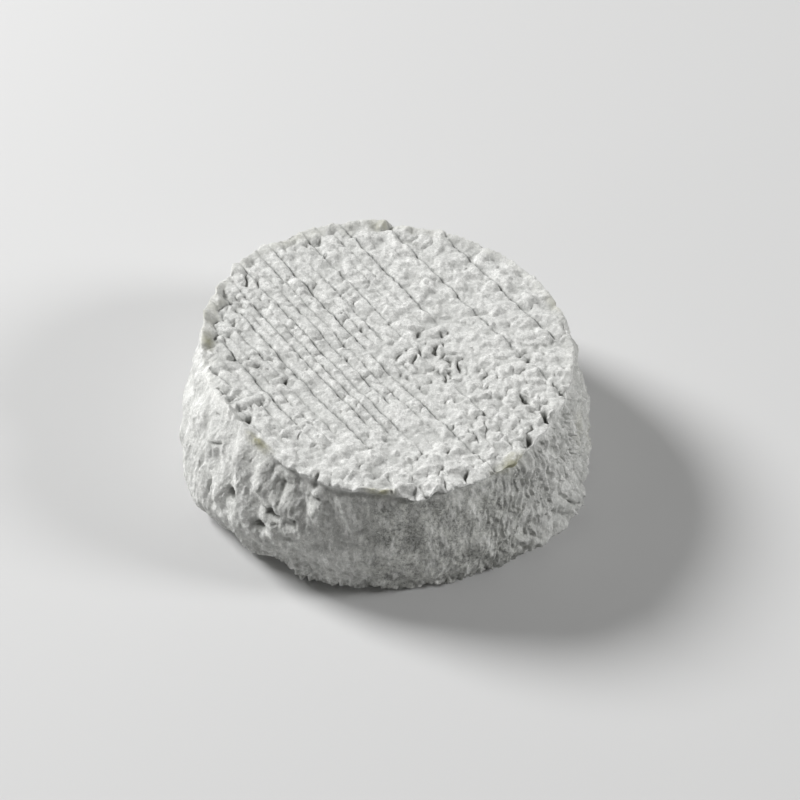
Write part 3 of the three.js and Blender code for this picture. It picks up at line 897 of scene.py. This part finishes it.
def wheel_places(radius, angle, level, face, wall):
    """Where each point of the plain drum goes in mm, and its masks for the material."""
    rim = plain_radius(angle, np.full_like(angle, HEIGHT))
    inward = (1 - radius) * rim
    downward = (1 - level) * HEIGHT
    from_rim = np.where(level < 1, downward, -inward)
    bend = RIM_BEND + ROUND_BEND * stretch_of(angle, ROUND_RIM)
    back = smooth_step_over(-from_rim, bend)
    rounding = smooth_step_over(from_rim, bend) - np.maximum(from_rim, 0)
    drop = np.maximum(from_rim, 0) + rounding * (1 - ease(from_rim, *ROUNDED_DOWN_TO))
    reach = rim - back
    wall_level = np.clip(HEIGHT - drop, 0, HEIGHT)
    x = reach * np.cos(np.radians(angle))
    y = reach * np.sin(np.radians(angle))

    face_height, face_grey_and_shade, phase, depth = face.relief(x, y)
    wall_height, wall_grey_and_shade = wall.relief(angle, wall_level)
    lip_out, lip_up, lip_painted_shade, band = wall.rim(angle, from_rim)
    in_grooves = ease(-from_rim, *GROOVES_BEGIN)
    begins, whole = FACE_BEGINS
    on_face = ease(-from_rim, begins, whole + FACE_BEGINS_LATER * stretch_of(angle, EVEN_RIM))
    on_face = on_face * (1 - 0.85 * band)
    on_wall = ease(from_rim, *WALL_BEGINS)

    inside = reach / rim
    dish = DISH_DEPTH * (1 - ease(inside, 0, DISH_SHARE)) * (from_rim < 0)
    worn = WORN_DEPTH * ease(inside, 0.88, 1.03) * stretch_of(angle, WORN_RIM)
    worn = worn * hump(from_rim, WORN_DOWN_TO)
    z = HEIGHT - drop - dish - worn + on_face * (face_height - FACE_MEAN) + lip_up
    wall_radius = plain_radius(angle, wall_level)
    r = np.where(from_rim > 0, wall_radius - back, reach) + on_wall * wall_height + lip_out

    on_base = (level == 0) & (radius < 1)
    foot = plain_radius(angle, np.zeros_like(angle))
    r = np.where(on_base, radius * foot, r)
    z = np.where(on_base, 0, z)
    masks = {
        # The hollow mask: grey and painted shade in creases, pits, dents and under the lip.
        "hollow_grey_and_shade": np.clip(face_grey_and_shade * on_face + wall_grey_and_shade * on_wall + lip_painted_shade, 0, 1),
        "groove_phase": phase,
        "groove_cut": depth * in_grooves * (from_rim < 0),
        "upright": on_wall,
        # The fuzz mask, which is also painted shade on the front.
        "fuzz_and_front_shade": on_wall * fuzz_and_front_shade_mask(angle),
        # The bare band, whose colour is partly painted shade.
        "bare_and_shaded_band": band,
        "stain": stain_mask(angle, from_rim),
    }
    return r * np.cos(np.radians(angle)), r * np.sin(np.radians(angle)), z, masks


def thinned(piece):
    """Takes out the vertices that the shape needs least. The piece is still in mm here."""
    triangles = sum(len(polygon.vertices) - 2 for polygon in piece.data.polygons)
    thin = piece.modifiers.new("thin", "DECIMATE")
    thin.ratio = MOST_TRIANGLES / triangles
    graph = bpy.context.evaluated_depsgraph_get()
    mesh = bpy.data.meshes.new_from_object(piece.evaluated_get(graph))
    piece.modifiers.clear()
    old = piece.data
    piece.data = mesh
    bpy.data.meshes.remove(old)


def cheese_wheel():
    """The whole rind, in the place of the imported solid."""
    form = plain_drum()
    mesh = bpy.data.meshes.new("cheese_wheel_rind")
    form.to_mesh(mesh)
    form.free()
    flat = np.empty(len(mesh.vertices) * 3)
    mesh.vertices.foreach_get("co", flat)
    plain = np.round(flat.reshape(-1, 3), 5)
    radius, angle = rounded(plain[:, 0], plain[:, 1])
    level = (plain[:, 2] + 1) / 2
    x, y, z, masks = wheel_places(radius, angle, level, Face(), Wall())
    x = x - (x.min() + x.max()) / 2
    y = y - (y.min() + y.max()) / 2
    mesh.vertices.foreach_set("co", np.stack([x, y, z], axis=1).ravel())
    for name, values in masks.items():
        mask = mesh.attributes.new(name, "FLOAT", "POINT")
        mask.data.foreach_set("value", values)
    mesh.update()
    wheel = bpy.data.objects.new("cheese_wheel_rind", mesh)
    bpy.context.collection.objects.link(wheel)
    thinned(wheel)
    low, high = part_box("cheese_wheel")
    middle = (low + high) / 2
    wheel.data.transform(Matrix.Translation((middle.x, middle.y, low.z)) @ Matrix.Scale(MM, 4))
    wheel.data.shade_smooth()
    return wheel


# ---- Material ----------------------------------

def noise(tree, place, scale, detail, roughness=0.5):
    """Soft random values from 0 to 1."""
    node = tree.nodes.new("ShaderNodeTexNoise")
    node.inputs["Scale"].default_value = scale
    node.inputs["Detail"].default_value = detail
    node.inputs["Roughness"].default_value = roughness
    tree.links.new(place, node.inputs["Vector"])
    return node.outputs["Fac"]


def spread_out(tree, value, edges, ends=(0, 1)):
    """Turns what lies between two edges into values between two ends, and holds it there."""
    node = tree.nodes.new("ShaderNodeMapRange")
    node.inputs["From Min"].default_value = edges[0]
    node.inputs["From Max"].default_value = edges[1]
    node.inputs["To Min"].default_value = ends[0]
    node.inputs["To Max"].default_value = ends[1]
    tree.links.new(value, node.inputs["Value"])
    return node.outputs["Result"]


def mixed(tree, share, below, above):
    """A colour between two: each is a colour, or a socket that gives one."""
    node = tree.nodes.new("ShaderNodeMix")
    node.data_type = "RGBA"
    tree.links.new(share, node.inputs["Factor"])
    for name, colour in (("A", below), ("B", above)):
        if isinstance(colour, tuple):
            node.inputs[name].default_value = (*colour, 1)
        else:
            tree.links.new(colour, node.inputs[name])
    return node.outputs["Result"]


def worked(tree, operation, first, second=None):
    """One step of arithmetic. The second may be a number or a socket."""
    node = tree.nodes.new("ShaderNodeMath")
    node.operation = operation
    tree.links.new(first, node.inputs[0])
    if isinstance(second, (int, float)):
        node.inputs[1].default_value = second
    elif second is not None:
        tree.links.new(second, node.inputs[1])
    return node.outputs["Value"]


def product(tree, first, second):
    return worked(tree, "MULTIPLY", first, second)


def mask_of(tree, name):
    """One of the masks that the mesh carries."""
    node = tree.nodes.new("ShaderNodeAttribute")
    node.attribute_name = name
    return node.outputs["Fac"]


def drawn_out(tree, place, height_scale):
    """Places that draw a pattern out upwards."""
    node = tree.nodes.new("ShaderNodeMapping")
    node.inputs["Scale"].default_value = (1, 1, height_scale)
    tree.links.new(place, node.inputs["Vector"])
    return node.outputs["Vector"]


def mould(tree, place):
    """White mould in patches, with the grey under it where it is thin."""
    tall = drawn_out(tree, place, 0.45)
    patches = noise(tree, tall, scale=110, detail=4)
    patches = spread_out(tree, patches, (0.35, 0.62))
    colour = mixed(tree, patches, GREY_MOULD, WHITE_MOULD)
    powder = noise(tree, tall, scale=360, detail=5, roughness=1.0)
    powder = spread_out(tree, powder, (0.38, 0.6), (0.9, 0))
    return mixed(tree, powder, colour, THIN_MOULD)


def with_fuzz(tree, place, colour):
    """Grey fuzz with pale tips, where the wall is fuzzy. Thick on the front, it also paints shade there.
    """
    mottle = noise(tree, place, scale=190, detail=6, roughness=1.0)
    mottle = spread_out(tree, mottle, (0.45, 0.57))
    fuzz = mixed(tree, mottle, DARK_FUZZ, PALE_FUZZ)
    return mixed(tree, product(tree, mask_of(tree, "fuzz_and_front_shade"), 0.9), colour, fuzz)


def with_streaks(tree, place, colour):
    """Thin clouds and white streaks that run up the wall."""
    on_wall = mask_of(tree, "upright")
    taller = drawn_out(tree, place, 0.3)
    clouds = noise(tree, taller, scale=150, detail=4, roughness=0.7)
    clouds = spread_out(tree, clouds, (0.42, 0.62), (0, 0.25))
    colour = mixed(tree, product(tree, clouds, on_wall), colour, THIN_MOULD)
    streaks = noise(tree, taller, scale=420, detail=4, roughness=0.7)
    streaks = spread_out(tree, streaks, (0.5, 0.64), (0, 0.6))
    return mixed(tree, product(tree, streaks, on_wall), colour, WHITE_MOULD)


def with_grain(tree, place, colour):
    grain = noise(tree, place, scale=1500, detail=3, roughness=0.8)
    grain = spread_out(tree, grain, (0.38, 0.62), (0.7, 0))
    return mixed(tree, grain, colour, THIN_MOULD)


def with_bare_and_shaded_band(tree, place, colour):
    """Bare rind along the rim, where the mould has worn off, darkened partly as painted shade on the
    band's slope turned from the key light.
    """
    worn_off = noise(tree, place, scale=330, detail=4, roughness=0.7)
    worn_off = spread_out(tree, worn_off, (0.35, 0.62), (0.1, 0.9))
    band = product(tree, mask_of(tree, "bare_and_shaded_band"), worn_off)
    return mixed(tree, band, colour, BARE_RIND_AND_SHADE)


def with_stains(tree, place, colour):
    ragged = noise(tree, place, scale=420, detail=3)
    ragged = spread_out(tree, ragged, (0.2, 0.5))
    stain = product(tree, mask_of(tree, "stain"), ragged)
    return mixed(tree, stain, colour, STRAW_YELLOW)


def with_hollow_grey_and_shade(tree, colour):
    """Grey and painted shade in the creases, and dark painted shade at the bottom of pits and dents."""
    hollow_grey_and_shade = mask_of(tree, "hollow_grey_and_shade")
    colour = mixed(tree, product(tree, hollow_grey_and_shade, 0.7), colour, GREY_AND_SHADED_HOLLOW)
    # Painted shade, near black, where the hollow mask is deepest.
    return mixed(tree, spread_out(tree, hollow_grey_and_shade, (0.75, 1.0), (0, 0.8)), colour, PAINTED_PIT_SHADE)


def groove_line(tree):
    """1 along the very bottom of a groove, however coarse the mesh is."""
    phase = mask_of(tree, "groove_phase")
    nearest = worked(tree, "ROUND", phase)
    away = worked(tree, "ABSOLUTE", worked(tree, "SUBTRACT", phase, nearest))
    away = product(tree, away, PHASE_SPAN)
    line = spread_out(tree, away, (0.1, 0.42), (1, 0))
    return product(tree, line, mask_of(tree, "groove_cut"))


def with_groove_grey_and_shade(tree, place, colour):
    broken = noise(tree, place, scale=500, detail=3)
    broken = spread_out(tree, broken, (0.32, 0.6), (0.2, 0.9))
    line = product(tree, groove_line(tree), broken)
    # Grey mould and painted shade along each groove's bottom.
    return mixed(tree, line, colour, GROOVE_GREY_AND_SHADE)


def powdery_normal(tree, place):
    """The grains and puffs of the mould, too fine for the mesh."""
    grains = noise(tree, place, scale=1500, detail=3)
    puffs = noise(tree, place, scale=600, detail=2)
    powder = worked(tree, "ADD", product(tree, grains, 0.6), puffs)
    bump = tree.nodes.new("ShaderNodeBump")
    bump.inputs["Strength"].default_value = 0.6
    bump.inputs["Distance"].default_value = 0.0005
    tree.links.new(powder, bump.inputs["Height"])
    return bump.outputs["Normal"]


def rind_material():
    """The mouldy rind, from the mould itself to the marks that lie over it."""
    material = bpy.data.materials.new("white_mould_rind")
    material.use_nodes = True
    tree = material.node_tree
    tree.nodes.clear()
    out = tree.nodes.new("ShaderNodeOutputMaterial")
    shader = tree.nodes.new("ShaderNodeBsdfPrincipled")
    tree.links.new(shader.outputs["BSDF"], out.inputs["Surface"])
    shader.inputs["Roughness"].default_value = 0.92
    shader.inputs["Specular IOR Level"].default_value = 0.25
    place = tree.nodes.new("ShaderNodeTexCoord").outputs["Object"]
    colour = mould(tree, place)
    colour = with_fuzz(tree, place, colour)
    colour = with_streaks(tree, place, colour)
    colour = with_grain(tree, place, colour)
    colour = with_bare_and_shaded_band(tree, place, colour)
    colour = with_stains(tree, place, colour)
    colour = with_hollow_grey_and_shade(tree, colour)
    colour = with_groove_grey_and_shade(tree, place, colour)
    tree.links.new(colour, shader.inputs["Base Color"])
    tree.links.new(powdery_normal(tree, place), shader.inputs["Normal"])
    return material


# ---- Studio ------------------------------------

# Where the camera is, in metres and degrees.
CAMERA_ELEVATION = 46.5
CAMERA_DISTANCE = 0.77
CAMERA_AIM = Vector((0.0037, 0.0, 0.019))
CAMERA_LENS = 122.7  # mm
SENSOR_WIDTH = 36  # mm

# Lights: name, place and size in metres, power in watts.
LIGHTS = (
    ("key_light", (-1.17, 0.64, 0.98), 0.6, 37),
    ("low_light", (-1.12, -0.66, 0.12), 0.4, 2.2),
    ("fill_light", (1.32, -0.2, 0.74), 0.4, 13),
)
LIGHT_AIM = Vector((0, 0, 0.02))
ROOM_COLOUR = (1, 1, 0.95, 1)
ROOM_STRENGTH = 0.1

FLOOR_REACH = 3  # metres from the middle to each side
FLOOR_GREY = (0.6, 0.6, 0.6, 1)


def floor_material():
    material = bpy.data.materials.new("pale_floor")
    material.use_nodes = True
    shader = material.node_tree.nodes["Principled BSDF"]
    shader.inputs["Base Color"].default_value = FLOOR_GREY
    shader.inputs["Roughness"].default_value = 0.8
    return material


def floor():
    form = bmesh.new()
    bmesh.ops.create_grid(form, x_segments=1, y_segments=1, size=FLOOR_REACH)
    mesh = bpy.data.meshes.new("floor")
    form.to_mesh(mesh)
    form.free()
    sheet = bpy.data.objects.new("floor", mesh)
    bpy.context.collection.objects.link(sheet)
    mesh.materials.append(floor_material())


def soft_light(name, place, size, power):
    """A round light that faces the wheel."""
    data = bpy.data.lights.new(name, "AREA")
    data.shape = "DISK"
    data.size = size
    data.energy = power
    lamp = bpy.data.objects.new(name, data)
    lamp.location = place
    lamp.rotation_euler = (LIGHT_AIM - Vector(place)).to_track_quat("-Z", "Y").to_euler()
    bpy.context.collection.objects.link(lamp)


def room():
    """Even light from all round, and colours shown as they are."""
    world = bpy.data.worlds.new("soft_room")
    world.use_nodes = True
    background = world.node_tree.nodes["Background"]
    background.inputs["Color"].default_value = ROOM_COLOUR
    background.inputs["Strength"].default_value = ROOM_STRENGTH
    bpy.context.scene.world = world
    bpy.context.scene.view_settings.view_transform = "Standard"


def camera():
    data = bpy.data.cameras.new("camera")
    data.lens = CAMERA_LENS
    data.sensor_width = SENSOR_WIDTH
    eye = bpy.data.objects.new("camera", data)
    elevation = math.radians(CAMERA_ELEVATION)
    back = Vector((0, -math.cos(elevation), math.sin(elevation)))
    eye.location = CAMERA_AIM + back * CAMERA_DISTANCE
    eye.rotation_euler = (math.radians(90 - CAMERA_ELEVATION), 0, 0)
    bpy.context.collection.objects.link(eye)
    bpy.context.scene.camera = eye


# ---- The scene ---------------------------------

wheel = cheese_wheel()
wheel.data.materials.append(rind_material())
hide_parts("cheese_wheel")
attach(wheel, "root")

floor()
for light in LIGHTS:
    soft_light(*light)
room()
camera()
